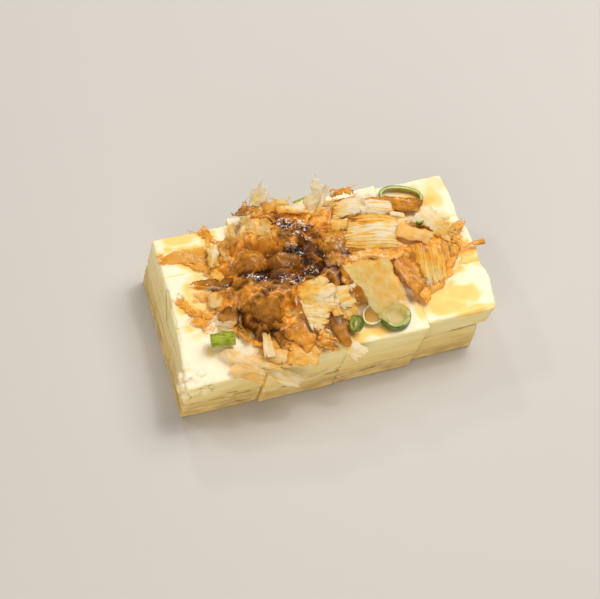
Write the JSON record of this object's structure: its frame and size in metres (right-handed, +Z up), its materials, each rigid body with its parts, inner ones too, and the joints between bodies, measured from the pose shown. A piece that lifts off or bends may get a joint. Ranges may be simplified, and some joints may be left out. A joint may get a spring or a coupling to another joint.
{
  "type": "tofu block with toppings",
  "caption": "Block of chilled soft tofu, cut into cubes that keep the block's shape, topped with bonito shavings and spring onion, served to be eaten from a dish.",
  "frame": {"origin": "under the middle of the whole, on the surface that the block stands on", "axes": "+X along the block's long side, +Y towards its back, +Z up"},
  "size_m": [0.138, 0.0804, 0.0482],
  "materials": {
    "tofu": "soft, moist, creamy curd with knife marks and stains of soy sauce",
    "shavings": "paper-thin dried fish, pale and fibrous where dry, dark and glossy where soaked in soy sauce",
    "onion": "fresh green stalk, moist and smooth",
    "pale_onion": "pale inner stalk, moist and slightly clear"
  },
  "bodies": {
    "root": {"tofu_c1_r1_lower": "tofu", "tofu_c1_r1_middle": "tofu", "tofu_c1_r1_upper": "tofu", "tofu_c1_r2_lower": "tofu", "tofu_c1_r2_upper": "tofu", "tofu_c1_r3_lower": "tofu", "tofu_c1_r3_upper": "tofu", "tofu_c2_r1_lower": "tofu", "tofu_c2_r1_upper": "tofu", "tofu_c2_r2_lower": "tofu", "tofu_c2_r2_upper": "tofu", "tofu_c2_r3_lower": "tofu", "tofu_c2_r3_upper": "tofu", "tofu_c3_r1_lower": "tofu", "tofu_c3_r1_upper": "tofu", "tofu_c3_r2_lower": "tofu", "tofu_c3_r2_upper": "tofu", "tofu_c3_r3_lower": "tofu", "tofu_c3_r3_upper": "tofu", "tofu_c4_r1_lower": "tofu", "tofu_c4_r1_upper": "tofu", "tofu_c4_r2_lower": "tofu", "tofu_c4_r2_upper": "tofu", "tofu_c4_r3_lower": "tofu", "tofu_c4_r3_upper": "tofu", "onion_stalk_left": "onion", "onion_stalk_back": "onion", "onion_ring_back": "onion", "onion_ring_front": "onion", "onion_ring_pale": "pale_onion", "onion_slice_front": "onion", "onion_chip_right": "onion", "bonito_shavings": "shavings"}
  },
  "joints": []
}
